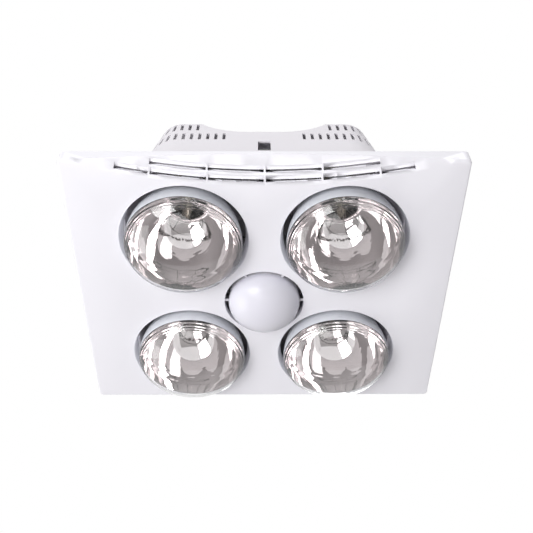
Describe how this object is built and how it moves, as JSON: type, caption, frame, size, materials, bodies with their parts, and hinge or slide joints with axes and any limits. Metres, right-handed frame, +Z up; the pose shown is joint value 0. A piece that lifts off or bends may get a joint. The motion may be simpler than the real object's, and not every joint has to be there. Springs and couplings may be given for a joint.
{
  "type": "bathroom ceiling heater",
  "caption": "Square-fronted ceiling unit with heat lamps, a central light and a ducted extractor fan behind a louvre, for a bathroom.",
  "frame": {"origin": "on the ceiling plane, at the centre of the rectangle of ceiling screws, midway between the heat lamps", "axes": "+Z up into the ceiling space, +Y towards the duct spigot, -Y towards the louvred edge"},
  "size_m": [0.41, 0.3825, 0.2178],
  "materials": {
    "fascia_white": "moulded, semi-gloss white with a slight lavender cast",
    "latch_plastic": "moulded, black",
    "opal": "opal, smooth, slightly blue-white",
    "light_alloy": "pressed, plain",
    "board_white": "white solder mask",
    "phosphor": "yellow phosphor gel",
    "silvered_glass": "silvered glass bowl, satin outside",
    "clear_glass": "clear blown glass",
    "lamp_cap": "rolled brass cap",
    "lamp_stem": "glass stem with dark tungsten wires",
    "ceramic": "glazed off-white",
    "brass": "plain sheet",
    "zinc_steel": "zinc-plated sheet",
    "screw_steel": "zinc-plated screws",
    "housing_white": "moulded, fine matt, white with a faint warm cast",
    "fan_grey": "moulded, light grey",
    "impeller_white": "moulded, off-white",
    "laminations": "stacked silicon steel, dark",
    "copper": "enamelled copper wire",
    "rotor_metal": "cast cage, turned",
    "bright_steel": "ground steel",
    "sintered_bronze": "sintered, oil-filled",
    "rubber": "soft black rubber",
    "flap_plastic": "moulded, thin",
    "terminal_white": "moulded, fine matt",
    "block_nylon": "natural nylon",
    "gland_grey": "moulded grey",
    "driver_white": "moulded, fine matt",
    "phenolic": "dark phenolic with bright blades"
  },
  "bodies": {
    "unit": {"cable_gland": "gland_grey", "duct_flap_pin": "bright_steel", "duct_spigot": "fan_grey", "duct_spigot_screws": "screw_steel", "fan_scroll": "fan_grey", "fan_scroll_cover": "fan_grey", "fan_spacers": "zinc_steel", "fascia": "fascia_white", "fascia_latches": "latch_plastic", "housing": "housing_white", "lampholder_contacts": "brass", "lampholder_far_left": "ceramic", "lampholder_far_right": "ceramic", "lampholder_near_left": "ceramic", "lampholder_near_right": "ceramic", "lampholder_rail_left": "zinc_steel", "lampholder_rail_right": "zinc_steel", "lampholder_shells": "brass", "light_board": "board_white", "light_driver": "driver_white", "light_emitters": "phosphor", "light_tray": "light_alloy", "light_tray_screws": "screw_steel", "motor_bearings": "sintered_bronze", "motor_grommets": "rubber", "motor_lower_bracket": "zinc_steel", "motor_nuts": "screw_steel", "motor_stack": "laminations", "motor_studs": "screw_steel", "motor_upper_bracket": "zinc_steel", "motor_windings": "copper", "roof_screws": "screw_steel", "terminal_block": "block_nylon", "terminal_box": "terminal_white", "terminal_box_lid": "terminal_white", "terminal_box_screws": "screw_steel", "thermal_cutout": "phenolic"},
    "fan_rotor": {"fan_impeller": "impeller_white", "motor_shaft": "bright_steel", "motor_rotor": "rotor_metal"},
    "flap_left": {"duct_flap_left": "flap_plastic"},
    "flap_right": {"duct_flap_right": "flap_plastic"},
    "diffuser": {"light_diffuser": "opal"},
    "lamp_near_left": {"lamp_near_left_bowl": "silvered_glass", "lamp_near_left_glass": "clear_glass", "lamp_near_left_cap": "lamp_cap", "lamp_near_left_filament": "lamp_stem"},
    "lamp_near_right": {"lamp_near_right_bowl": "silvered_glass", "lamp_near_right_glass": "clear_glass", "lamp_near_right_cap": "lamp_cap", "lamp_near_right_filament": "lamp_stem"},
    "lamp_far_left": {"lamp_far_left_bowl": "silvered_glass", "lamp_far_left_glass": "clear_glass", "lamp_far_left_cap": "lamp_cap", "lamp_far_left_filament": "lamp_stem"},
    "lamp_far_right": {"lamp_far_right_bowl": "silvered_glass", "lamp_far_right_glass": "clear_glass", "lamp_far_right_cap": "lamp_cap", "lamp_far_right_filament": "lamp_stem"}
  },
  "joints": [
    {"name": "fan_spin", "type": "hinge", "parent": "unit", "child": "fan_rotor", "pos_m": [-0.024, -0.008, 0.09], "axis": [0, 0, 1], "continuous": true},
    {"name": "flap_left_swing", "type": "hinge", "parent": "unit", "child": "flap_left", "pos_m": [0, 0.176, 0.072], "axis": [0, 0, -1], "range_deg": [0, 75], "stiffness_Nm_per_rad": 0.001},
    {"name": "flap_right_swing", "type": "hinge", "parent": "unit", "child": "flap_right", "pos_m": [0, 0.176, 0.072], "axis": [0, 0, 1], "range_deg": [0, 75], "stiffness_Nm_per_rad": 0.001},
    {"name": "diffuser_twist", "type": "hinge", "parent": "unit", "child": "diffuser", "pos_m": [0, 0.0036, -0.01], "axis": [0, 0, 1], "range_deg": [0, 45]},
    {"name": "lamp_near_left_withdraw", "type": "slide", "parent": "unit", "child": "lamp_near_left", "axis": [0, 0, -1], "range_m": [0, 0.14]},
    {"name": "lamp_near_right_withdraw", "type": "slide", "parent": "unit", "child": "lamp_near_right", "axis": [0, 0, -1], "range_m": [0, 0.14]},
    {"name": "lamp_far_left_withdraw", "type": "slide", "parent": "unit", "child": "lamp_far_left", "axis": [0, 0, -1], "range_m": [0, 0.14]},
    {"name": "lamp_far_right_withdraw", "type": "slide", "parent": "unit", "child": "lamp_far_right", "axis": [0, 0, -1], "range_m": [0, 0.14]}
  ]
}
